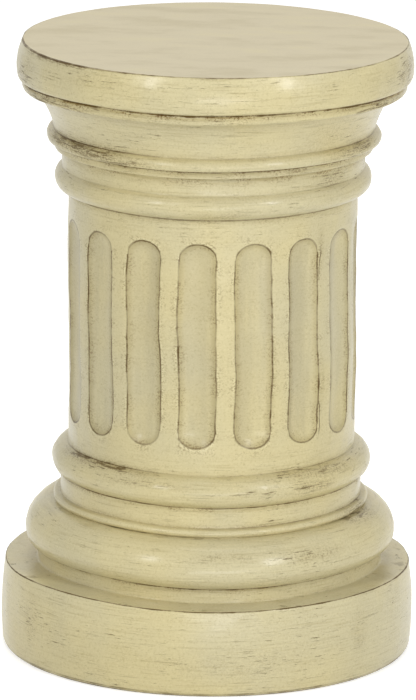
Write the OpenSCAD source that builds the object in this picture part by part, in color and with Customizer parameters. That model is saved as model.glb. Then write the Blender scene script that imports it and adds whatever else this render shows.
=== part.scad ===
// Fluted column pedestal: one casting with a drum plinth, base mouldings, a shaft with
// sixteen stopped flutes, neck mouldings and a broad round top. It stands on its underside.
// Lengths are in millimetres. The axis is Z, and the floor is at Z = 0.
// A size that ends in _out is how far a moulding stands out from the face of the shaft.

/* [Overall] */
// Height from the floor to the top face
column_h = 457; // [380:1:560]
// Diameter of the plain face of the shaft
shaft_d = 212.6; // [175:0.2:260]

/* [Plinth] */
// Height of the drum plinth
plinth_h = 65.5; // [50:0.5:80]
// Reach of the plinth's belly
plinth_out = 46.6; // [42:0.1:60]
// Height of the belly above the floor
plinth_belly_z = 29; // [20:0.5:40]
// Radius of the arc down the plinth's side
plinth_side_r = 245; // [150:5:400]
// Radius of the worn edge at the floor
plinth_edge_r = 5; // [2:0.5:8]

/* [Base mouldings] */
// Reach of the foot, the plain wall on the plinth
foot_out = 21.4; // [12:0.1:24]
// Height of the foot
foot_h = 11.5; // [6:0.5:16]
// Reach of the large torus
torus_out = 30.8; // [26:0.1:40]
// Section radius of the large torus below its widest line
torus_low_r = 14; // [10:0.1:17]
// Height of that lower part
torus_low_h = 11.6; // [8:0.1:13]
// Section radius of the large torus above its widest line
torus_up_r = 22.6; // [19:0.1:28]
// Height of that upper part
torus_up_h = 22.3; // [18:0.1:26]
// Reach of the ring on top of the large torus
ring_out = 10.4; // [7:0.1:13]
// Height of the ring, a full half round
ring_h = 6; // [4:0.1:10]
// Reach of the plain band above the ring
base_band_out = 5; // [3:0.1:7]
// Height of that band as far as the crease under the small torus
base_band_h = 15.4; // [10:0.1:22]
// Reach of the small torus
small_torus_out = 11.7; // [8:0.1:15]
// Section radius of the small torus
small_torus_r = 11.8; // [9:0.1:15]

/* [Flutes] */
// Number of flutes
flute_count = 16; // [8:1:20]
// Width of a flute across the face of the shaft
flute_w = 27.4; // [22:0.2:34]
// Depth of a flute at its middle
flute_depth = 4; // [2:0.1:6]
// Height over which a flute rounds off at each end
flute_end_rise = 12; // [7:0.5:15]
// Plain shaft between the small torus and the foot of the flutes
flute_foot_gap = 19.8; // [8:0.1:40]
// Plain shaft between the head of the flutes and the astragal
flute_head_gap = 19.2; // [8:0.1:40]

/* [Neck mouldings] */
// Reach of the astragal, the round bead at the head of the shaft
astragal_out = 10.3; // [7:0.1:14]
// Section radius of the astragal
astragal_r = 9.5; // [7:0.1:12]
// Reach of the plain band above the astragal
neck_band_out = 5.1; // [3:0.1:7]
// Height of that band above the crease on the astragal
neck_band_h = 13.9; // [9:0.1:20]
// Reach of the narrow fillet above the band
fillet_out = 10.7; // [7:0.1:13]
// Height of that fillet
fillet_h = 6.3; // [4:0.1:10]
// Reach of the bead on the fillet
bead_out = 16.6; // [14:0.1:20]
// Section radius of the bead
bead_r = 5.7; // [4:0.1:8]
// Height of the bead's widest line above the fillet
bead_low_h = 3; // [2:0.1:3.8]
// Reach of the cavetto, the flaring hollow, where it leaves the bead
cavetto_foot_out = 11.5; // [10.9:0.1:14]
// Reach of the cavetto at its head
cavetto_head_out = 25.8; // [20:0.1:31]
// Height of the cavetto
cavetto_h = 28.8; // [20:0.1:40]
// Radius of its hollow
cavetto_r = 60; // [40:1:120]

/* [Top] */
// Reach of the rough moulding under the top
under_out = 34.7; // [31.5:0.1:36]
// Height of that moulding
under_h = 8.3; // [6:0.1:12]
// Radius of its lower edge
under_edge_r = 2.5; // [1:0.1:4]
// Thickness of the top
top_h = 27.2; // [20:0.1:36]
// Reach of the top's belly
top_out = 38.9; // [37.5:0.1:48]
// Height of the belly above the underside of the top
top_belly_h = 8.7; // [6:0.1:12]
// Radius of the arc down the side of the top
top_side_r = 46; // [36:1:120]
// Radius of its lower edge
top_edge_r = 2.5; // [1:0.1:4]

/* [Hidden] */
$fn = 180;
// How far a section runs past a face that it has to clear
past = 1;

shaft_r = shaft_d / 2;
// Height of a circle's rim above its centre, at a distance across from the centre
function rim_height(radius, across) = sqrt(radius * radius - across * across);

// Levels from the floor up: each moulding stands on the one below it
foot_z = plinth_h;
torus_z = foot_z + foot_h;
torus_belly_z = torus_z + torus_low_h;
ring_z = torus_belly_z + torus_up_h;
base_band_z = ring_z + ring_h;
small_torus_crease_z = base_band_z + base_band_h;
small_torus_centre_out = small_torus_out - small_torus_r;
small_torus_z = small_torus_crease_z
    + rim_height(small_torus_r, base_band_out - small_torus_centre_out);
shaft_z = small_torus_z + rim_height(small_torus_r, small_torus_centre_out);

// Levels from the top down: each moulding hangs from the one above it
top_z = column_h - top_h;
under_z = top_z - under_h;
cavetto_z = under_z - cavetto_h;
bead_z = cavetto_z - rim_height(bead_r, cavetto_foot_out - bead_out + bead_r);
fillet_top_z = bead_z - bead_low_h;
fillet_z = fillet_top_z - fillet_h;
neck_band_z = fillet_z - neck_band_h;
astragal_centre_out = astragal_out - astragal_r;
astragal_z = neck_band_z - rim_height(astragal_r, neck_band_out - astragal_centre_out);
shaft_top_z = astragal_z - astragal_r;

// Flute: a round groove, whose ends rise along an arc to the face of the shaft
flute_half_w = flute_w / 2;
flute_floor_r = shaft_r - flute_depth;
flute_sagitta = rim_height(shaft_r, flute_half_w) - flute_floor_r;
flute_section_r = (flute_sagitta * flute_sagitta + flute_half_w * flute_half_w) / (2 * flute_sagitta);
flute_end_r = (flute_end_rise * flute_end_rise + flute_depth * flute_depth) / (2 * flute_depth);
flute_low_z = shaft_z + flute_foot_gap + flute_end_rise;
flute_high_z = shaft_top_z - flute_head_gap - flute_end_rise;

// Section of a plain round band, from the axis out
module band(radius, z, h) {
    translate([0, z]) square([radius, h]);
}

// Section of a moulding with a round face, whose widest point is at radius and z
module round_face(radius, z, section_r) {
    translate([radius - section_r, z]) circle(section_r);
    band(radius - section_r, z - section_r, 2 * section_r);
}

// Section of a slab whose side is an arc, with a rounded lower edge
module bellied_slab(radius, z, h, belly_h, side_r, edge_r) {
    arc_x = radius - side_r;
    drop = edge_r - belly_h;
    edge_x = arc_x + rim_height(side_r - edge_r, drop);
    tangent_h = belly_h + drop * side_r / (side_r - edge_r);
    intersection() {
        translate([arc_x, z + belly_h]) circle(side_r, $fn = 720);
        band(radius + past, z + tangent_h, h - tangent_h);
    }
    translate([edge_x, z + edge_r]) circle(edge_r);
    band(edge_x, z, 2 * edge_r);
    band(max(arc_x, edge_r), z, h);
}

// Section of a band that flares upward with a hollow face
module hollow_flare(foot_r, head_r, z, h, hollow_r) {
    chord = [head_r - foot_r, h];
    chord_l = norm(chord);
    stand_off = rim_height(hollow_r, chord_l / 2);
    centre = [foot_r, z] + chord / 2 + [chord[1], -chord[0]] * stand_off / chord_l;
    difference() {
        polygon([[0, z], [foot_r, z], [head_r, z + h], [0, z + h]]);
        translate(centre) circle(hollow_r, $fn = 720);
    }
}

// The large torus is rounder below its widest line than above it
module torus_section() {
    radius = shaft_r + torus_out;
    intersection() {
        round_face(radius, torus_belly_z, torus_low_r);
        band(radius + past, torus_z, torus_low_h);
    }
    intersection() {
        round_face(radius, torus_belly_z, torus_up_r);
        band(radius + past, torus_belly_z, torus_up_h);
    }
}

module base_section() {
    bellied_slab(shaft_r + plinth_out, 0, plinth_h, plinth_belly_z, plinth_side_r, plinth_edge_r);
    band(shaft_r + foot_out, foot_z - past, foot_h + past);
    torus_section();
    round_face(shaft_r + ring_out, ring_z + ring_h / 2, ring_h / 2);
    band(shaft_r + base_band_out, base_band_z - past, small_torus_z - base_band_z + past);
    intersection() {
        round_face(shaft_r + small_torus_out, small_torus_z, small_torus_r);
        band(shaft_r + small_torus_out + past, small_torus_crease_z, 2 * small_torus_r);
    }
}

module neck_section() {
    round_face(shaft_r + astragal_out, astragal_z, astragal_r);
    band(shaft_r + neck_band_out, astragal_z, fillet_z - astragal_z + past);
    band(shaft_r + fillet_out, fillet_z, fillet_h + past);
    intersection() {
        round_face(shaft_r + bead_out, bead_z, bead_r);
        band(shaft_r + bead_out + past, fillet_top_z, cavetto_z - fillet_top_z);
    }
    hollow_flare(shaft_r + cavetto_foot_out, shaft_r + cavetto_head_out, cavetto_z, cavetto_h, cavetto_r);
}

module top_section() {
    under_r = shaft_r + under_out;
    translate([under_r - under_edge_r, under_z + under_edge_r]) circle(under_edge_r);
    band(under_r - under_edge_r, under_z, 2 * under_edge_r);
    band(under_r, under_z + under_edge_r, under_h - under_edge_r + past);
    bellied_slab(shaft_r + top_out, top_z, top_h, top_belly_h, top_side_r, top_edge_r);
}

// Cutter for one flute, facing -Y: an upright drum with rounded rims, which leaves a hollow
// groove whose floor curves up to the face of the shaft at both ends. Its rims may be rounder
// than the drum is wide, so its section is cut off at the drum's axis.
module flute_cutter() {
    core_r = flute_section_r - flute_end_r;
    length = flute_high_z - flute_low_z;
    translate([0, -flute_floor_r - flute_section_r, 0]) rotate_extrude() {
        band(flute_section_r, flute_low_z, length);
        if (core_r > 0) band(core_r, flute_low_z - flute_end_r, length + 2 * flute_end_r);
        for (z = [flute_low_z, flute_high_z]) intersection() {
            translate([core_r, z]) circle(flute_end_r);
            band(flute_section_r + past, z - flute_end_r, 2 * flute_end_r);
        }
    }
}

module column() {
    color([0.80, 0.76, 0.62]) difference() {
        rotate_extrude() {
            base_section();
            band(shaft_r, small_torus_z, astragal_z - small_torus_z);
            neck_section();
            top_section();
        }
        for (i = [0 : flute_count - 1])
            rotate([0, 0, i * 360 / flute_count]) flute_cutter();
    }
}

column();
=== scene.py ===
"""A fluted column pedestal in cream paint with a dark brown wash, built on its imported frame.

Lengths are in millimetres until they go into a mesh, and lamps and camera are placed in metres. The
axis is Z and -Y is the front.
"""

import bpy
import numpy as np
from math import cos, pi, radians, sin
from mathutils import Matrix, Vector


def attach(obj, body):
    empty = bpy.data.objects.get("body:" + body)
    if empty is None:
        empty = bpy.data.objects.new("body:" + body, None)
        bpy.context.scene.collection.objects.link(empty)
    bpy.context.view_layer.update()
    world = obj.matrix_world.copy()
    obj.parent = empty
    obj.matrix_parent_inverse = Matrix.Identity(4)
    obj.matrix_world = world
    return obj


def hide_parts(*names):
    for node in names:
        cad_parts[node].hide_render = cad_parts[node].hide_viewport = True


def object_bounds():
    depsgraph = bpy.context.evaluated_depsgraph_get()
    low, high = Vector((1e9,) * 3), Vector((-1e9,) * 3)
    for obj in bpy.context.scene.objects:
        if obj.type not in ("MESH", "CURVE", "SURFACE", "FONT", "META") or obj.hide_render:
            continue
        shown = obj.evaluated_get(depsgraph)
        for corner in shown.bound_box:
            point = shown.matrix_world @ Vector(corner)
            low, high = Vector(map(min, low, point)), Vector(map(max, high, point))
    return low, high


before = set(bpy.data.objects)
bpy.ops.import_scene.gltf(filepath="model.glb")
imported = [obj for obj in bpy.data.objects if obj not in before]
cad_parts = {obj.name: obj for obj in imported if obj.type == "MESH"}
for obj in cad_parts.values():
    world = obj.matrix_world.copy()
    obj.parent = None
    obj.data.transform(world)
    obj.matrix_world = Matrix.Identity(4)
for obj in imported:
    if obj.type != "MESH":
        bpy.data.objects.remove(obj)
cad_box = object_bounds()

# ---------------------------------------------------------------------------------------------
# Drum plinth. The foot of the casting, a low drum with a slightly bellied side and a worn edge
# at the floor. Each stretch of the outline goes from the underside's centre up to the top's.
# ---------------------------------------------------------------------------------------------
# Distance between neighbouring points of the outline
STEP = 0.1


def straight(start, end):
    """Points about STEP apart along the line between two (radius, level) points."""
    start, end = np.array(start, float), np.array(end, float)
    count = max(2, int(np.hypot(*(end - start)) / STEP))
    return start + (end - start) * np.linspace(0, 1, count)[:, None]


def arc(centre, radius, start_deg, end_deg):
    """Points about STEP apart on a circle, from one angle to another. Angle 0 points outwards."""
    count = max(2, int(abs(radians(end_deg - start_deg)) * radius / STEP))
    angle = np.radians(np.linspace(start_deg, end_deg, count))
    return np.column_stack([centre[0] + radius * np.cos(angle), centre[1] + radius * np.sin(angle)])


def bellied_side(belly_r, belly_z, side_r, edge_r, low_z, high_z):
    """A rounded lower edge, and above it an arc that is widest at belly_z.

    The edge touches the arc from inside: the distance between their centres is side_r less edge_r.
    """
    centre_r = belly_r - side_r
    drop = low_z + edge_r - belly_z
    edge_centre_r = centre_r + np.sqrt((side_r - edge_r) ** 2 - drop**2)
    tangent = np.degrees(np.arcsin(drop / (side_r - edge_r)))
    head = np.degrees(np.arcsin((high_z - belly_z) / side_r))
    edge = arc((edge_centre_r, low_z + edge_r), edge_r, -90, tangent)
    return [edge, arc((centre_r, belly_z), side_r, tangent, head)]


def meet(section, centre_r, at_r, side):
    """The angle on a round section at which it reaches a radius, below (-1) or above (+1) its middle.

    Its cosine is how far out that radius lies from the centre, over the radius of the section.
    """
    return side * np.degrees(np.arccos(np.clip((at_r - centre_r) / section, -1, 1)))


plinth_h = 65.5
plinth_r = 152.9
plinth_belly_z = 29.0
plinth_side_r = 245.0
worn_edge_r = 5.0
outline = bellied_side(plinth_r, plinth_belly_z, plinth_side_r, worn_edge_r, 0.0, plinth_h)
outline.insert(0, straight((0, 0), outline[0][0]))
# A mark is a point of the outline, how dark a line lies there, of wash and at some marks painted shadow, and
# whether it is a hollow or an arris.
# The worn edge has two, one at the floor and one a little above it. They paint the dark line along the floor,
# wash with a painted contact shadow.
marks = [((149.8, 1.1), 1.1, "arris"), ((151.3, 2.6), 0.7, "arris")]
marks += [(tuple(outline[-1][-1]), 1.3, "arris")]

# ---------------------------------------------------------------------------------------------
# Base mouldings. A plain foot, a large torus with a thin ring on it, a plain band and a small
# torus, all run in the mould as one turned profile.
# ---------------------------------------------------------------------------------------------
foot_r = 127.7
torus_low_z = 77.0
torus_r = 137.1
torus_z = 88.6
torus_low_section = 14.0
torus_up_section = 22.6
ring_r = 116.7
ring_half = 3.0
ring_z = 110.9 + ring_half
band_r = 111.3
small_torus_r = 118.0
small_torus_z = 142.94
small_torus_section = 11.8
# How far below its middle the small torus meets the band
small_crease_drop = 10.7
shaft_r = 106.3

low_centre_r = torus_r - torus_low_section
up_centre_r = torus_r - torus_up_section
low_start = -np.degrees(np.arcsin((torus_z - torus_low_z) / torus_low_section))
up_end = np.degrees(np.arcsin((ring_z - ring_half - torus_z) / torus_up_section))
small_centre_r = small_torus_r - small_torus_section
small_low = meet(small_torus_section, small_centre_r, band_r, -1)
small_high = meet(small_torus_section, small_centre_r, shaft_r, 1)
outline.append(straight(outline[-1][-1], (foot_r, plinth_h)))
outline.append(straight((foot_r, plinth_h), (foot_r, torus_low_z)))
outline.append(arc((low_centre_r, torus_z), torus_low_section, low_start, 0))
# The line just under the large torus is wash with a painted shadow of the torus's overhang in it
marks += [((foot_r, plinth_h), 0.1, "hollow"), ((foot_r, torus_low_z - 0.8), 1.1, "hollow")]
outline.append(arc((up_centre_r, torus_z), torus_up_section, 0, up_end))
outline.append(arc((ring_r - ring_half, ring_z), ring_half, -90, 90))
marks += [((ring_r - 1.0, ring_z - ring_half), 0.5, "hollow"), ((band_r, ring_z + ring_half), 0.35, "hollow")]
outline.append(straight((band_r, ring_z + ring_half), (band_r, small_torus_z - small_crease_drop)))
outline.append(arc((small_centre_r, small_torus_z), small_torus_section, small_low, small_high))
marks += [(tuple(outline[-1][0]), 0.9, "hollow"), (tuple(outline[-1][-1]), 0.15, "hollow")]
shaft_foot_z = outline[-1][-1][1]

# ---------------------------------------------------------------------------------------------
# Neck mouldings. The astragal, a plain band, a narrow fillet with a bead on it, and the hollow
# flare of the cavetto. The wash is heaviest here, where a brush can't wipe it off.
# ---------------------------------------------------------------------------------------------
astragal_r = 116.6
astragal_z = 355.36
astragal_section = 9.5
neck_r = 111.4
fillet_r = 117.0
fillet_low_z = 377.73
fillet_high_z = 384.03
bead_r = 122.9
bead_z = 387.03
bead_section = 5.7
cavetto_foot = (117.8, 392.7)
cavetto_head = (132.1, 421.5)
cavetto_section = 60.0

astragal_centre_r = astragal_r - astragal_section
bead_centre_r = bead_r - bead_section
shaft_head_z = astragal_z - astragal_section
astragal_head = meet(astragal_section, astragal_centre_r, neck_r, 1)
bead_foot = -np.degrees(np.arcsin((bead_z - fillet_high_z) / bead_section))
bead_head = meet(bead_section, bead_centre_r, cavetto_foot[0], 1)
outline.append(straight((shaft_r, shaft_foot_z), (shaft_r, shaft_head_z)))
outline.append(arc((astragal_centre_r, astragal_z), astragal_section, -90, astragal_head))
marks += [((shaft_r, shaft_head_z - 0.9), 0.6, "hollow"), (tuple(outline[-1][-1]), 0.15, "hollow")]
outline.append(straight(outline[-1][-1], (neck_r, fillet_low_z)))
outline.append(straight((neck_r, fillet_low_z), (fillet_r, fillet_low_z)))
outline.append(straight((fillet_r, fillet_low_z), (fillet_r, fillet_high_z)))
outline.append(arc((bead_centre_r, bead_z), bead_section, bead_foot, bead_head))
marks += [((neck_r, fillet_low_z - 1.9), 1.1, "hollow"), ((fillet_r, fillet_high_z - 1.6), 0.9, "hollow")]
marks += [(cavetto_foot, 0.3, "hollow")]
flare = np.subtract(cavetto_head, cavetto_foot)
chord = np.hypot(*flare)
out = np.array([flare[1], -flare[0]]) / chord
hollow_centre = np.add(cavetto_foot, flare / 2) + out * np.sqrt(cavetto_section**2 - chord**2 / 4)
foot_angle = np.degrees(np.arctan2(*(np.subtract(cavetto_foot, hollow_centre)[::-1]))) % 360
head_angle = np.degrees(np.arctan2(*(np.subtract(cavetto_head, hollow_centre)[::-1]))) % 360
outline.append(arc(hollow_centre, cavetto_section, foot_angle, head_angle))

# ---------------------------------------------------------------------------------------------
# Top. A rough moulding left unsmoothed under a thick round slab, whose side is bellied low down
# and whose upper arris is sharp. The flat face on it carries a pot or a glass.
# ---------------------------------------------------------------------------------------------
under_r = 141.0
under_z = cavetto_head[1]
under_edge = 2.5
slab_z = 429.8
slab_r = 145.2
slab_belly_z = 438.5
slab_side_r = 46.0
slab_edge_r = 2.5
column_h = 457.0
outline.append(straight(cavetto_head, (under_r - under_edge, under_z)))
outline.append(arc((under_r - under_edge, under_z + under_edge), under_edge, -90, 0))
outline.append(straight((under_r, under_z + under_edge), (under_r, slab_z)))
# The line under the slab is wash with a painted shadow of the slab's overhang in it
marks += [((131.3, 419.2), 0.25, "hollow"), ((under_r, slab_z - 1.0), 1.4, "hollow")]
slab = bellied_side(slab_r, slab_belly_z, slab_side_r, slab_edge_r, slab_z, column_h)
outline += slab
marks += [(tuple(slab[-1][-1]), 0.8, "arris")]
outline.append(straight(slab[-1][-1], (0, column_h)))

# ---------------------------------------------------------------------------------------------
# The casting. A stone-like mix poured in one mould: the turned outline above, with flutes sunk in
# the shaft, and the small lumps, soft arrises and uneven lines of hand work.
# ---------------------------------------------------------------------------------------------
# Spread of the average that rounds the corners off
SOFTNESS = 0.55


def softened(points):
    """The outline in even steps of length, with its corners rounded by a running average.

    The weights follow a bell curve whose spread is SOFTNESS. The two ends stay where they are.
    """
    points = points[np.r_[True, np.hypot(*np.diff(points, axis=0).T) > 1e-6]]
    length = np.r_[0, np.cumsum(np.hypot(*np.diff(points, axis=0).T))]
    even = np.arange(0, length[-1], STEP)
    line = np.column_stack([np.interp(even, length, points[:, k]) for k in (0, 1)])
    reach = int(4 * SOFTNESS / STEP)
    weight = np.exp(-0.5 * (np.arange(-reach, reach + 1) * STEP / SOFTNESS) ** 2)
    padded = np.pad(line, ((reach, reach), (0, 0)), mode="reflect", reflect_type="odd")
    soft = np.column_stack([np.convolve(padded[:, k], weight / weight.sum(), "valid") for k in (0, 1)])
    soft[0], soft[-1] = line[0], line[-1]
    return even, soft


along, soft_line = softened(np.vstack(outline))


def place_along(point):
    """The length along the outline at which it comes nearest to a point."""
    return along[np.argmin(np.hypot(*(soft_line - point).T))]


# Rows: close together where the outline turns, far apart where it runs straight
ROWS_BELOW, ROWS_ABOVE = 96, 112
TURN_PER_ROW = 0.13
FINEST_ROW, COARSEST_ROW, FLAT_ROW = 0.32, 3.2, 12.0
# Inside this radius lie only the flat underside and the flat top
flat_face_r = 100
turn = np.abs(np.gradient(np.unwrap(np.arctan2(*np.gradient(soft_line, axis=0).T))) / STEP)
density = 1 / np.clip(TURN_PER_ROW / (turn + 1e-6), FINEST_ROW, COARSEST_ROW)
density = np.where(soft_line[:, 0] < flat_face_r, 1 / FLAT_ROW, density)
shaft_low_s = place_along((shaft_r, shaft_foot_z))
shaft_high_s = place_along((shaft_r, shaft_head_z))


def rows_between(low_s, high_s, count):
    """Places of rows between two lengths, with an equal share of the summed density in each gap."""
    inside = (along >= low_s) & (along <= high_s)
    total = np.cumsum(density[inside])
    return np.interp(np.linspace(total[0], total[-1], count), total, along[inside])


# Flutes: a round groove with a vertical axis outside the shaft, whose rim is rounded at both ends
flute_count = 16
flute_half_w = 13.7
flute_depth = 4.0
flute_rise = 12.0
flute_foot_gap = 19.8
flute_head_gap = 19.2
flute_low_z = shaft_foot_z + flute_foot_gap + flute_rise
flute_high_z = shaft_head_z - flute_head_gap - flute_rise
floor_r = shaft_r - flute_depth
sagitta = np.sqrt(shaft_r**2 - flute_half_w**2) - floor_r
groove_r = (sagitta**2 + flute_half_w**2) / (2 * sagitta)
groove_axis = floor_r + groove_r
end_r = (flute_rise**2 + flute_depth**2) / (2 * flute_depth)
edge_angle = np.arcsin(flute_half_w / shaft_r)
pitch = 2 * pi / flute_count


def end_rise(angle):
    """How far past the straight part a flute's outline rises, at an angle from its middle.

    The groove's end is rounded by a circle of end_r. The rise is the root of end_r squared less the
    square of how far out from that circle's centre the face of the shaft lies.
    """
    away = np.sqrt(shaft_r**2 + groove_axis**2 - 2 * shaft_r * groove_axis * np.cos(angle))
    return np.sqrt(np.clip(end_r**2 - np.clip(away - groove_r + end_r, 0, None) ** 2, 0, None))


def sunk(angle, level):
    """Depth of the groove below the shaft's face, less than 0 outside it.

    The groove is round about groove_axis, and past its straight part its radius shrinks along a circle
    of end_r. Its floor is where a line straight out from the column's axis first meets it.
    """
    past_end = np.clip(np.maximum(flute_low_z - level, level - flute_high_z), 0, end_r - 1e-3)
    radius = groove_r - end_r + np.sqrt(end_r**2 - past_end**2)
    root = np.sqrt(np.clip(radius**2 - (groove_axis * np.sin(angle)) ** 2, 0, None))
    return shaft_r - groove_axis * np.cos(angle) + root


# Columns: one flute and half a flat strip each side, close together at the flute's edges
strip = pitch / 2 * shaft_r
half_flute = np.array([3.1, 6.1, 8.8, 11.1, 12.6, 13.3, 13.75, 14.2, 15.2, 17.6])
one_flute = np.r_[-half_flute[::-1], 0, half_flute, strip] / shaft_r
theta = (np.arange(flute_count)[:, None] * pitch + one_flute[None, :]).ravel()
from_middle = np.tile(one_flute, flute_count)
from_middle = np.where(from_middle > pitch / 2 - 1e-6, pitch / 2, from_middle)

# Shaft rows: level at the strips, and bowed round the flutes' ends, less and less to BOW_REACH away
BOW_REACH = 24
MIDDLE_ROWS = 14
end_steps = np.array([-24, -17, -12, -8, -5.3, -3.4, -2, -1.1, -0.45, 0, 0.45, 1.1, 2.2, 4, 7, 11, 16, 22])
bow_steps = np.clip(1 - np.abs(end_steps) / BOW_REACH, 0, 1)
middle = np.linspace(flute_low_z + BOW_REACH, flute_high_z - BOW_REACH, MIDDLE_ROWS)[1:-1]
crease_steps = np.array([0.35, 0.9, 1.8, 3.2, 5.2])
low_crease, high_crease = shaft_foot_z + crease_steps, shaft_head_z - crease_steps[::-1]
levels = np.r_[low_crease, flute_low_z - end_steps[::-1], middle, flute_high_z + end_steps, high_crease]
level_crease, level_middle = np.zeros_like(crease_steps), np.zeros_like(middle)
bows = np.r_[level_crease, -bow_steps[::-1], level_middle, bow_steps, level_crease]
shaft_z = levels[:, None] + bows[:, None] * end_rise(from_middle)[None, :]

below = rows_between(along[0], shaft_low_s, ROWS_BELOW)[1:]
above = rows_between(shaft_high_s, along[-1], ROWS_ABOVE)[:-1]
on_shaft = shaft_low_s + (shaft_z - shaft_foot_z)
ones = np.ones_like(theta)[None, :]
place = np.vstack([below[:, None] * ones, on_shaft, above[:, None] * ones])
radius = np.interp(place, along, soft_line[:, 0])
level = np.interp(place, along, soft_line[:, 1])
angle = theta[None, :]

# The groove takes over from the face over a soft lip, and nothing is sunk by the two creases
lip = 0.3
crease_reach = 6
no_groove = -50.0
in_shaft = (level > shaft_foot_z + crease_reach) & (level < shaft_head_z - crease_reach)
depth = np.where(in_shaft, sunk(from_middle[None, :], level), no_groove)
radius = radius - 0.5 * (depth + np.sqrt(depth**2 + 4 * lip**2)) * in_shaft

rng = np.random.default_rng(7)


def lumps(x, y, z, size, waves=28):
    """Smooth random relief of about unit height: a sum of waves in random directions."""
    direction = rng.normal(size=(waves, 3))
    direction /= np.linalg.norm(direction, axis=1)[:, None]
    number = 2 * pi / (size * rng.uniform(0.7, 1.5, waves))
    phase = rng.uniform(0, 2 * pi, waves)
    total = np.zeros_like(x)
    for (dx, dy, dz), k, p in zip(direction, number, phase):
        total += np.cos(k * (dx * x + dy * y + dz * z) + p)
    return total / np.sqrt(waves / 2)


px, py = radius * np.sin(angle), -radius * np.cos(angle)
fade = 12
above_foot = np.clip((level - shaft_foot_z - crease_reach) / fade, 0, 1)
below_head = np.clip((shaft_head_z - crease_reach - level) / fade, 0, 1)
fluted = above_foot * below_head
angle = angle + (0.45 * lumps(px, py, level, 50) + 0.18 * lumps(px, py, level, 16)) / shaft_r * fluted
slope = np.gradient(soft_line, along, axis=0)
out_r = np.interp(place, along, slope[:, 1])
out_z = np.interp(place, along, -slope[:, 0])
# Relief stands off the skin. It dies out at the axis and at the floor, and is slight on the top face.
# Sway lifts and lowers the mouldings as they go round.
relief = 0.16 * lumps(px, py, level, 30) + 0.07 * lumps(px, py, level, 11) + 0.25 * lumps(px, py, level, 120)
off_axis = np.clip(radius / 60, 0, 1)
off_floor = np.clip(level / 8, 0, 1)
below_top = np.clip((column_h - level) / 6, 0, 1)
sway = 0.45 * lumps(px, py, level * 0.3, 170) * off_floor * below_top
radius = radius + relief * out_r * off_axis * off_floor
dip = np.where(level > column_h - 1, 0.15, 0.6)
level = level + (relief - 0.3) * np.clip(out_z, 0, 1) * off_floor * dip + sway
level = np.clip(level, 0, column_h)
# The widest line stays this far inside the plain model
box_margin = 0.1
radius = np.minimum(radius, plinth_r - box_margin)
# The rings of a hand-set mould aren't quite on one axis: how far each stands to one side
drift = [
    ((147, plinth_h), 0), ((foot_r, plinth_h), 1.6), ((small_torus_r, small_torus_z), 1.8),
    ((shaft_r, 215), 2.0), ((shaft_r, 275), 1.0), ((neck_r, 370), 0.9), ((140, column_h), 1.5),
]
aside = np.interp(place, [place_along(point) for point, _ in drift], [far for _, far in drift])

# Mesh: a closed skin of quads, with a point at the centre of the underside and of the top
METRES = 0.001
rows, columns = radius.shape
size_ratio = cad_box[1][2] / (column_h * METRES)
# The rings drift to the right as the camera sees them. Its azimuth is counted from the front.
view_azimuth = 5.7
aside_x, aside_y = cos(radians(view_azimuth)), sin(radians(view_azimuth))
x, y = radius * np.sin(angle) + aside * aside_x, -radius * np.cos(angle) + aside * aside_y
grid = np.stack([x, y, level], -1).reshape(-1, 3)
top_middle = [aside[-1, 0] * aside_x, aside[-1, 0] * aside_y, level[-1].mean()]
points = np.vstack([grid, [[0, 0, 0]], [top_middle]]) * METRES * size_ratio
i, j = np.meshgrid(np.arange(rows - 1), np.arange(columns), indexing="ij")
i, j, k = i.ravel(), j.ravel(), (j.ravel() + 1) % columns
quads = np.column_stack([i * columns + j, i * columns + k, (i + 1) * columns + k, (i + 1) * columns + j])
rim, following = np.arange(columns), (np.arange(columns) + 1) % columns
last = (rows - 1) * columns
under_fan = np.column_stack([following, rim, np.full(columns, rows * columns)])
top_fan = np.column_stack([last + rim, last + following, np.full(columns, rows * columns + 1)])

mesh = bpy.data.meshes.new("column_casting")
mesh.from_pydata(points.tolist(), [], quads.tolist() + under_fan.tolist() + top_fan.tolist())
mesh.shade_smooth()
casting = bpy.data.objects.new("column_casting", mesh)
bpy.context.scene.collection.objects.link(casting)


def attribute(name, values, centre_values):
    """Stores one number at each point of the casting."""
    layer = mesh.attributes.new(name, "FLOAT", "POINT")
    layer.data.foreach_set("value", np.r_[values.ravel(), centre_values].astype(np.float32))


def nearest(kind):
    """Distance to the nearest mark of a kind along the outline, and how dark that mark's line is, of wash and
    at some marks painted shadow.
    """
    spots = np.array([(place_along(p), w) for p, w, k in marks if k == kind])
    gap = np.abs(place[..., None] - spots[:, 0])
    pick = gap.argmin(-1)
    return np.take_along_axis(gap, pick[..., None], -1)[..., 0], spots[pick, 1]


# A gap past which no mark shows
FAR = 30
hollow_gap, hollow_wash_and_shadow = nearest("hollow")
arris_gap, arris_wash_and_shadow = nearest("arris")
attribute("hollow_gap", np.clip(hollow_gap, 0, FAR), [FAR, FAR])
attribute("hollow_wash_and_shadow", hollow_wash_and_shadow, [0, 0])
attribute("arris_gap", np.clip(arris_gap, 0, FAR), [FAR, FAR])
attribute("arris_wash_and_shadow", arris_wash_and_shadow, [0, 0])

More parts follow.
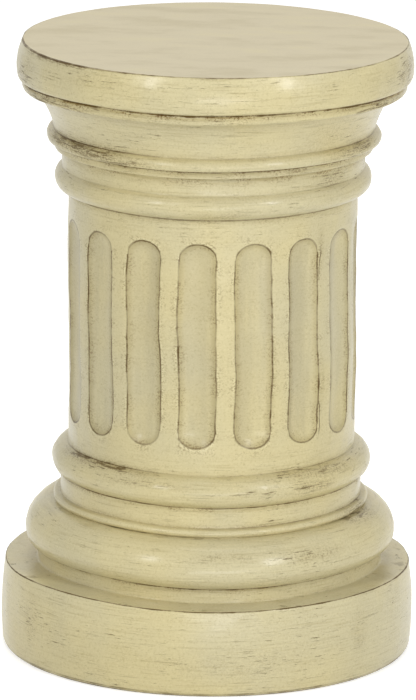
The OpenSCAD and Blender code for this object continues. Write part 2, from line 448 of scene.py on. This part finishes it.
# Distance into a flute from its edge, less than 0 outside it: across the flute, and at its ends along
# it, scaled down towards its sides, where the rounded end runs more steeply
across = (edge_angle - np.abs(from_middle)[None, :]) * shaft_r
past_low = flute_low_z - end_rise(from_middle)[None, :]
past_high = flute_high_z + end_rise(from_middle)[None, :]
endwise = np.minimum(level - past_low, past_high - level)
end_zone = (level < flute_low_z) | (level > flute_high_z)
lateral = np.clip(1 - (from_middle / edge_angle) ** 2, 0.05, 1)
end_gap = endwise * np.sqrt(lateral)
flute_gap = np.where(end_zone & (across > 0), np.minimum(across, end_gap), across)
outside_end = end_zone & (endwise < 0)
flute_gap = np.where(outside_end & (across > 0), end_gap, flute_gap)
beyond = np.maximum(flute_low_z - level, level - flute_high_z)
flute_gap = np.where(outside_end & (across <= 0), -np.hypot(across, np.clip(beyond, 0, None)), flute_gap)
flute_gap = np.where(in_shaft, flute_gap, -FAR)
attribute("flute_gap", np.clip(flute_gap, -FAR, FAR), [-FAR, -FAR])

# The top face starts just inside its arris
top_arris_r = 141.3
arris_width = 1.0
top_face = (place > place_along((top_arris_r, column_h)) + arris_width).astype(float)
attribute("top_face", top_face, [0, 1])
attribute("fluted", fluted, [0, 0])

# Smears: where a wiping hand left more wash, as (azimuth in degrees from the front, level, half width
# in degrees, half height, strength). Those round the back lie at random on the same mouldings.
smears = [
    (-48, 390, 26, 6, 1.0), (66, 390, 16, 5, 0.8), (66, 425, 15, 5, 0.9), (-52, 425, 22, 5, 0.8),
    (-50, 456.5, 22, 1.6, 1.0), (-68, 440, 8, 10, 0.6), (80, 442, 8, 11, 0.7), (35, 381, 9, 3, 0.6),
    (57, 371, 8, 7, 0.7), (8, 350, 11, 3, 0.6), (-46, 154, 26, 2.6, 1.0), (50, 153, 22, 4, 0.7),
    (46, 144, 9, 4, 0.8), (72, 113, 13, 5, 0.9), (40, 98, 11, 4, 0.7), (10, 100, 10, 3, 0.5),
    (57, 73, 3, 2.5, 0.8), (-52, 36, 3.5, 16, 0.4), (53, 38, 3, 16, 0.45), (30, 225, 1.6, 32, 0.9),
    (-7, 250, 1.8, 42, 0.7), (-52, 265, 2.0, 40, 0.6), (54, 215, 2.2, 22, 0.8), (54, 318, 2.2, 16, 0.8),
    (54, 406, 14, 11, 0.35), (-10, 424, 40, 3.5, 0.35), (-30, 386, 16, 4, 0.8), (5, 384, 24, 2.5, 0.3),
    (22, 118, 26, 1.6, 0.4), (-20, 148, 18, 2.5, 0.6), (-4, 24, 46, 15, 0.22), (-36, 448, 15, 5, 0.35),
    (74, 446, 12, 6, 0.3), (20, 143, 14, 3, 0.35),
]
BACK_SMEARS = 22
back_levels = [390, 425, 154, 114, 98, 372, 440, 40]
for _ in range(BACK_SMEARS):
    smears.append((
        rng.uniform(95, 265), rng.choice(back_levels), rng.uniform(8, 24), rng.uniform(3, 6),
        rng.uniform(0.5, 0.9),
    ))
heavy = np.zeros_like(level)
for azimuth, smear_z, half_w, half_h, strength in smears:
    turn_by = (np.degrees(theta)[None, :] - azimuth + 180) % 360 - 180
    near = np.exp(-((turn_by / half_w) ** 2) ** 1.5 - (((level - smear_z) / half_h) ** 2))
    heavy = np.maximum(heavy, strength * near)
attribute("heavy", heavy * (1 - top_face), [0, 0])

# Slip: a tool that ran twice down one side of the second flute left a wavering line a little outside
# its edge, in two lengths, given as the level of the middle and half the length
slip_lengths = [(200, 24), (306, 14)]
slip_angle = 2 * pitch + edge_angle + (1.5 + 0.8 * np.sin(level / 7) + 0.4 * np.sin(level / 2.6)) / shaft_r
slip_across = ((angle - slip_angle + pi) % (2 * pi) - pi) * shaft_r
slip_ends = np.min([np.abs(level - slip_z) - half_l for slip_z, half_l in slip_lengths], axis=0)
attribute("slip_across", np.clip(slip_across, -FAR, FAR), [FAR, FAR])
attribute("slip_here", np.clip(-slip_ends / 6, 0, 1) * (np.abs(slip_across) < 20), [0, 0])

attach(casting, "root")
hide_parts("column")

# ---------------------------------------------------------------------------------------------
# Paint. Cream satin paint brushed round the turned work, then a thin dark brown wash wiped off
# again, which stays in hollows, in brush marks and along the arrises. Shade and sheen are painted in too:
# in and by the flutes, under the slab and the large torus, along the floor and on the top.
# ---------------------------------------------------------------------------------------------
cream = (0.624, 0.546, 0.300, 1)
cream_grey = (0.586, 0.528, 0.325, 1)
# The top's colours are paler and bluer than the sides': a painted sheen
top_beige_and_sheen = (0.672, 0.602, 0.436, 1)
top_streak_and_sheen = (0.570, 0.506, 0.348, 1)
# Brown for the wash, and for the painted shadow in some of the mark lines
wash_and_shadow_brown = (0.085, 0.045, 0.006, 1)
stipple_brown = (0.150, 0.078, 0.016, 1)
# Painted shade for the flutes' floors
painted_flute_shade_grey = (0.230, 0.208, 0.165, 1)
# Olive for stains and streaks, and for the painted shade just inside the flutes' edges
olive_stain_and_shade = (0.270, 0.200, 0.055, 1)
pale_cream = (0.750, 0.678, 0.400, 1)

paint = bpy.data.materials.new("painted_casting")
paint.use_nodes = True
tree = paint.node_tree
nodes, links = tree.nodes, tree.links
shader = nodes["Principled BSDF"]
coords = nodes.new("ShaderNodeTexCoord")


def plug(value, socket):
    """Links an output to an input, or sets a plain value there."""
    if isinstance(value, bpy.types.NodeSocket):
        links.new(value, socket)
    else:
        socket.default_value = value


def maths(operation, a, b=0.0, clamp=False):
    """One Math node."""
    node = nodes.new("ShaderNodeMath")
    node.operation = operation
    node.use_clamp = clamp
    for value, socket in zip((a, b), node.inputs):
        plug(value, socket)
    return node.outputs[0]


def ramp(value, low, high, to_low=0.0, to_high=1.0):
    """A smooth step from to_low to to_high, as the value goes from low to high."""
    node = nodes.new("ShaderNodeMapRange")
    node.interpolation_type = "SMOOTHSTEP"
    names = ("Value", "From Min", "From Max", "To Min", "To Max")
    for name, number in zip(names, (value, low, high, to_low, to_high)):
        plug(number, node.inputs[name])
    return node.outputs[0]


def noise(scale, stretch=(1, 1, 1), detail=4.0, rough=0.55, shift=(0, 0, 0)):
    """Noise on object coordinates in metres, finer along an axis whose stretch is larger."""
    place_node = nodes.new("ShaderNodeMapping")
    place_node.inputs["Scale"].default_value = stretch
    place_node.inputs["Location"].default_value = shift
    links.new(coords.outputs["Object"], place_node.inputs["Vector"])
    node = nodes.new("ShaderNodeTexNoise")
    node.inputs["Scale"].default_value = scale
    node.inputs["Detail"].default_value = detail
    node.inputs["Roughness"].default_value = rough
    links.new(place_node.outputs[0], node.inputs["Vector"])
    return node.outputs["Fac"]


def mixed(factor, a, b):
    """Colour a with b mixed into it, a times (1 - factor) plus b times factor."""
    node = nodes.new("ShaderNodeMix")
    node.data_type = "RGBA"
    plug(factor, node.inputs[0])
    plug(a, node.inputs[6])
    plug(b, node.inputs[7])
    return node.outputs[2]


def stored(name):
    """A number stored on the casting."""
    node = nodes.new("ShaderNodeAttribute")
    node.attribute_name = name
    return node.outputs["Fac"]


# Patterns: brush marks run round the mouldings, so their noise is fine up the casting and long round it
top_mask = stored("top_face")
fluted_mask = stored("fluted")
heavy_mask = stored("heavy")
brush = noise(30, (1, 1, 26), 5, 0.6)
brush_top = noise(17, (1, 2.4, 1), 4, 0.55)
cloud = noise(9, detail=3)
grain = noise(620, detail=2, rough=0.7)
speck = noise(640, (1, 1, 1.3), 3, 0.65)
wander = noise(60, (1, 1, 1), 5, 0.7)
patchy = noise(13, (1, 1, 2.5), 4, 0.6, (3, 1, 2))
patchy_fine = noise(45, (1, 1, 2), 4, 0.65, (1, 7, 2))
side_mask = maths("SUBTRACT", 1.0, top_mask)
streak = maths("ADD", maths("MULTIPLY", brush, side_mask), maths("MULTIPLY", brush_top, top_mask))
# Brushed is less on the fluted shaft, which the brush crosses, than on the turned mouldings
brushed = maths("SUBTRACT", 1.0, maths("MULTIPLY", fluted_mask, 0.75))

# Ground: cream with greyer clouds and a beige top, paler and bluer as a painted sheen, under brush marks and
# grain lighter and darker than it
ground = mixed(ramp(cloud, 0.38, 0.64), cream, cream_grey)
ground = mixed(top_mask, ground, top_beige_and_sheen)
top_wipe = maths("MULTIPLY", ramp(brush_top, 0.56, 0.38), top_mask)
ground = mixed(maths("MULTIPLY", top_wipe, 0.30), ground, top_streak_and_sheen)
light_streak = maths("MULTIPLY", ramp(streak, 0.52, 0.72), brushed)
dark_share = maths("MULTIPLY", brushed, maths("SUBTRACT", 1.0, maths("MULTIPLY", top_mask, 0.6)))
dark_streak = maths("MULTIPLY", ramp(streak, 0.48, 0.28), dark_share)
ground = mixed(maths("MULTIPLY", light_streak, 0.26), ground, pale_cream)
ground = mixed(maths("MULTIPLY", dark_streak, 0.27), ground, olive_stain_and_shade)
rough_paint = maths("SUBTRACT", 1.0, maths("MULTIPLY", top_mask, 0.7))
dark_grain = maths("MULTIPLY", ramp(grain, 0.47, 0.27), rough_paint)
light_grain = maths("MULTIPLY", ramp(grain, 0.53, 0.73), rough_paint)
ground = mixed(maths("MULTIPLY", dark_grain, 0.24), ground, olive_stain_and_shade)
ground = mixed(maths("MULTIPLY", light_grain, 0.28), ground, pale_cream)

# Wash lines, some with painted shadow in them: the gap to a mark, made uneven by noise, against the width of
# the line or of its stain
hollow_line_w, hollow_stain_w, arris_line_w, flute_line_w, slip_line_w = 0.85, 5.5, 0.95, 0.9, 0.7
uneven = maths("MULTIPLY", maths("SUBTRACT", wander, 0.5), 2.0)
line_strength = ramp(patchy, 0.32, 0.58, 0.62, 1.05)
line_strength = maths("ADD", line_strength, maths("MULTIPLY", heavy_mask, 0.4))
hollow_gap_rough = maths("ADD", stored("hollow_gap"), uneven)
hollow_strength = maths("ADD", stored("hollow_wash_and_shadow"), maths("MULTIPLY", heavy_mask, 0.65))
hollow_line = maths("MULTIPLY", ramp(hollow_gap_rough, hollow_line_w, 0.2), hollow_strength)
hollow_stain = maths("MULTIPLY", ramp(hollow_gap_rough, hollow_stain_w, 0.0), hollow_strength)
arris_gap_rough = maths("ADD", stored("arris_gap"), uneven)
arris_gap_rough = maths("SUBTRACT", arris_gap_rough, maths("MULTIPLY", heavy_mask, 0.7))
arris_worn = maths("MULTIPLY", ramp(patchy_fine, 0.36, 0.56, 0.55, 1.1), stored("arris_wash_and_shadow"))
arris_line = maths("MULTIPLY", ramp(arris_gap_rough, arris_line_w, 0.25), arris_worn)
edge_gap = stored("flute_gap")
flute_edge = maths("ABSOLUTE", maths("ADD", edge_gap, maths("MULTIPLY", uneven, 0.4)))
flute_worn = ramp(patchy_fine, 0.34, 0.60, 0.45, 0.90)
flute_line = maths("MULTIPLY", ramp(flute_edge, flute_line_w, 0.25), flute_worn)
slip_gap = maths("ABSOLUTE", maths("ADD", stored("slip_across"), maths("MULTIPLY", uneven, 0.6)))
slip_line = maths("MULTIPLY", ramp(slip_gap, slip_line_w, 0.15, 0.0, 0.75), stored("slip_here"))
flute_line = maths("MAXIMUM", flute_line, slip_line)
every_line = maths("MAXIMUM", maths("MAXIMUM", hollow_line, arris_line), flute_line)
line = maths("MULTIPLY", every_line, line_strength, clamp=True)

# Flutes: painted shade inside them, painted shade just inside their edges, and pale chips with a painted
# highlight just outside the line
in_flute = ramp(edge_gap, -0.5, 1.0)
edge_stain_w, edge_stipple_w, chip_w, chip_out = 5.5, 9.0, 0.8, 1.5
# Painted shade: darker olive just inside each flute's edge
painted_edge_shade = maths("MULTIPLY", in_flute, ramp(edge_gap, edge_stain_w, 0.3))
by_edge = ramp(maths("ABSOLUTE", edge_gap), edge_stipple_w, 0.5)
chip_edge = maths("ABSOLUTE", maths("ADD", maths("ADD", edge_gap, chip_out), uneven))
# Pale chips, and a painted highlight along the edge beside the dark line
chip_and_edge_highlight = maths("MULTIPLY", ramp(chip_edge, chip_w, 0.2), ramp(patchy_fine, 0.45, 0.60))
upright = noise(55, (1, 1, 0.1), 4, 0.6, (2, 4, 1))
# Painted shade: grey over the flutes' floors, in upright streaks
flute_shade = maths("MULTIPLY", in_flute, ramp(upright, 0.62, 0.38, 0.03, 0.20))

# Scratches and pits: scratches run round the casting, short dark ones and long faint ones
short_noise = maths("ADD", noise(80, (1, 1, 14), 4, 0.7, (5, 2, 7)), maths("MULTIPLY", heavy_mask, 0.15))
short_patch = maths("MAXIMUM", ramp(patchy, 0.42, 0.58), heavy_mask)
short_dash = maths("MULTIPLY", ramp(short_noise, 0.625, 0.67), short_patch)
long_noise = noise(30, (1, 1, 34), 4, 0.75, (1, 9, 3))
long_dash = maths("MULTIPLY", ramp(long_noise, 0.60, 0.68), 0.50)
dashes = maths("MULTIPLY", maths("MAXIMUM", short_dash, long_dash), maths("MULTIPLY", brushed, side_mask))
pits = maths("MULTIPLY", ramp(speck, 0.67, 0.72), maths("MAXIMUM", ramp(patchy, 0.50, 0.64), heavy_mask))
pits = maths("MULTIPLY", pits, maths("SUBTRACT", 1.0, maths("MULTIPLY", top_mask, 0.95)))

# Stains and stipple: thin wash beside the lines, painted shade just inside the flutes' edges, and brown dots
# where it dried in the grain
streaky = ramp(brush, 0.40, 0.60, 0.20, 1.0)
stain_and_edge_shade = maths("MULTIPLY", maths("MAXIMUM", hollow_stain, maths("MULTIPLY", heavy_mask, 0.65)), streaky)
stain_and_edge_shade = maths("MAXIMUM", stain_and_edge_shade, maths("MULTIPLY", painted_edge_shade, 0.60))
stipple_patch = maths("ADD", patchy_fine, maths("MULTIPLY", heavy_mask, 0.12))
stipple = maths("MULTIPLY", ramp(speck, 0.50, 0.60), ramp(stipple_patch, 0.44, 0.58))
brown_hollow = maths("MULTIPLY", maths("MAXIMUM", hollow_stain, heavy_mask), 0.75)
brown_zone = maths("MAXIMUM", brown_hollow, maths("MULTIPLY", by_edge, 0.55))
brown_zone = maths("MAXIMUM", brown_zone, maths("MULTIPLY", fluted_mask, 0.10))
brown = maths("MULTIPLY", brown_zone, stipple)

# Layers: each lies over the one before, from the palest shade to the dark lines
tinted = mixed(flute_shade, ground, painted_flute_shade_grey)
tinted = mixed(maths("MULTIPLY", stain_and_edge_shade, 0.50, clamp=True), tinted, olive_stain_and_shade)
tinted = mixed(maths("MULTIPLY", chip_and_edge_highlight, 0.45), tinted, pale_cream)
tinted = mixed(maths("MULTIPLY", brown, 0.85, clamp=True), tinted, stipple_brown)
tinted = mixed(maths("MULTIPLY", dashes, 0.72), tinted, wash_and_shadow_brown)
tinted = mixed(maths("MULTIPLY", pits, 0.65), tinted, wash_and_shadow_brown)
tinted = mixed(maths("MULTIPLY", line, 0.92), tinted, wash_and_shadow_brown)
links.new(tinted, shader.inputs["Base Color"])

# The paint is satin under a thin varnish, and the wash lies matt on it. The top is rubbed matt, and its sheen
# is painted into its colour.
sheen = maths("ADD", ramp(streak, 0.3, 0.7, 0.34, 0.42), maths("MULTIPLY", top_mask, 0.5))
links.new(sheen, shader.inputs["Roughness"])
shader.inputs["Specular IOR Level"].default_value = 0.12
shader.inputs["Coat Roughness"].default_value = 0.22
matt = maths("MAXIMUM", maths("MAXIMUM", line, dashes), maths("MULTIPLY", stain_and_edge_shade, 0.6))
full_varnish = 0.45
varnish = maths("SUBTRACT", full_varnish, maths("MULTIPLY", top_mask, full_varnish))
varnish = maths("SUBTRACT", varnish, maths("MULTIPLY", in_flute, 0.15))
varnish = maths("SUBTRACT", varnish, maths("MULTIPLY", matt, full_varnish), clamp=True)
links.new(varnish, shader.inputs["Coat Weight"])

# Brush marks and grain stand up a little, and pits, scratches and wash lines lie lower
bump_height = maths("MULTIPLY", maths("MULTIPLY", streak, brushed), 0.35)
bump_height = maths("ADD", bump_height, maths("MULTIPLY", grain, 0.10))
bump_height = maths("SUBTRACT", bump_height, maths("MULTIPLY", maths("MAXIMUM", pits, dashes), 0.35))
bump_height = maths("SUBTRACT", bump_height, maths("MULTIPLY", line, 0.35))
bump = nodes.new("ShaderNodeBump")
bump.inputs["Distance"].default_value = 0.0006
bump.inputs["Strength"].default_value = 0.6
links.new(bump_height, bump.inputs["Height"])
links.new(bump.outputs["Normal"], shader.inputs["Normal"])
mesh.materials.append(paint)

# ---------------------------------------------------------------------------------------------
# Floor. A plain white sheet of the studio, not a part of the column. It keeps the shadow round the
# plinth and shows white elsewhere, to the eye and in the varnish.
# ---------------------------------------------------------------------------------------------
floor_half = 6.0
floor_mesh = bpy.data.meshes.new("studio_floor")
corners = [(x * floor_half, y * floor_half, 0) for x, y in ((-1, -1), (1, -1), (1, 1), (-1, 1))]
floor_mesh.from_pydata(corners, [], [(0, 1, 2, 3)])
floor = bpy.data.objects.new("studio_floor", floor_mesh)
bpy.context.scene.collection.objects.link(floor)
white = bpy.data.materials.new("studio_white")
white.use_nodes = True
white_nodes, white_links = white.node_tree.nodes, white.node_tree.links
plain = white_nodes["Principled BSDF"]
plain.inputs["Base Color"].default_value = (0.80, 0.80, 0.79, 1)
plain.inputs["Roughness"].default_value = 0.9
plain.inputs["Emission Color"].default_value = (1, 1, 1, 1)
ray = white_nodes.new("ShaderNodeLightPath")
glow = white_nodes.new("ShaderNodeMath")
glow.operation = "MULTIPLY"
glow.inputs[1].default_value = 0.60
floor_seen = white_nodes.new("ShaderNodeMath")
floor_seen.operation = "MAXIMUM"
white_links.new(ray.outputs["Is Camera Ray"], floor_seen.inputs[0])
white_links.new(ray.outputs["Is Glossy Ray"], floor_seen.inputs[1])
white_links.new(floor_seen.outputs[0], glow.inputs[0])
white_links.new(glow.outputs[0], plain.inputs["Emission Strength"])
floor_mesh.materials.append(white)

# ---------------------------------------------------------------------------------------------
# Light and camera. Soft boxes each side of a long lens, one low in front, one above and one behind,
# in an even white room. The camera stands a little above the column and looks down on it.
# ---------------------------------------------------------------------------------------------
world = bpy.data.worlds.new("white_room")
bpy.context.scene.world = world
world.use_nodes = True
room_nodes, room_links = world.node_tree.nodes, world.node_tree.links
room = room_nodes["Background"]
room.inputs["Color"].default_value = (1.0, 0.995, 0.98, 1)
room_ray = room_nodes.new("ShaderNodeLightPath")
room_level = room_nodes.new("ShaderNodeMapRange")
room_level.inputs["To Min"].default_value = 0.42
room_level.inputs["To Max"].default_value = 1.0
seen = room_nodes.new("ShaderNodeMath")
seen.operation = "MAXIMUM"
room_links.new(room_ray.outputs["Is Camera Ray"], seen.inputs[0])
room_links.new(room_ray.outputs["Is Glossy Ray"], seen.inputs[1])
room_links.new(seen.outputs[0], room_level.inputs["Value"])
room_links.new(room_level.outputs[0], room.inputs["Strength"])


def soft_box(name, azimuth, elevation, distance, width, height, power):
    """A rectangular lamp aimed at the middle of the column. Azimuth 0 is the camera's side.

    It stands at the distance, turned by the azimuth and raised by the elevation, in metres and degrees.
    """
    lamp = bpy.data.lights.new(name, "AREA")
    lamp.shape = "RECTANGLE"
    lamp.size, lamp.size_y = width, height
    lamp.energy = power
    bearing = radians(azimuth + view_azimuth)
    reach = distance * cos(radians(elevation))
    middle = Vector((0, 0, 0.23))
    stand = middle + Vector((reach * sin(bearing), -reach * cos(bearing), distance * sin(radians(elevation))))
    holder = bpy.data.objects.new(name, lamp)
    holder.location = stand
    holder.rotation_euler = (middle - stand).to_track_quat("-Z", "Y").to_euler()
    bpy.context.scene.collection.objects.link(holder)


soft_box("right_box", 41, 24, 2.4, 0.28, 0.9, 16.5)
soft_box("left_box", -38, 27, 2.4, 0.25, 0.8, 12.5)
soft_box("front_box", 6, -2, 3.0, 1.8, 0.25, 17)
soft_box("top_box", 10, 89, 2.2, 0.8, 0.8, 9)
soft_box("back_box", 180, 42, 2.6, 1.4, 0.7, 12)

camera_data = bpy.data.cameras.new("camera")
camera_data.sensor_width = 36
camera_data.lens = 351.3
camera_data.clip_end = 50
camera = bpy.data.objects.new("camera", camera_data)
distance, camera_x, camera_z = 4.9016 * size_ratio, 0.0015, 1.4379 * size_ratio
pitch_down, yaw, roll = radians(13.924), radians(-0.0324), radians(0.7235)
forward = Vector((sin(yaw) * cos(pitch_down), cos(yaw) * cos(pitch_down), -sin(pitch_down)))
right = Vector((cos(yaw), -sin(yaw), 0))
up = right.cross(forward)
right, up = right * cos(roll) + up * sin(roll), up * cos(roll) - right * sin(roll)
pose = Matrix((right, up, -forward)).transposed().to_4x4()
pose.translation = Vector((camera_x, -distance, camera_z))
camera.matrix_world = Matrix.Rotation(radians(view_azimuth), 4, "Z") @ pose
bpy.context.scene.collection.objects.link(camera)
bpy.context.scene.camera = camera
bpy.context.scene.view_settings.view_transform = "Standard"
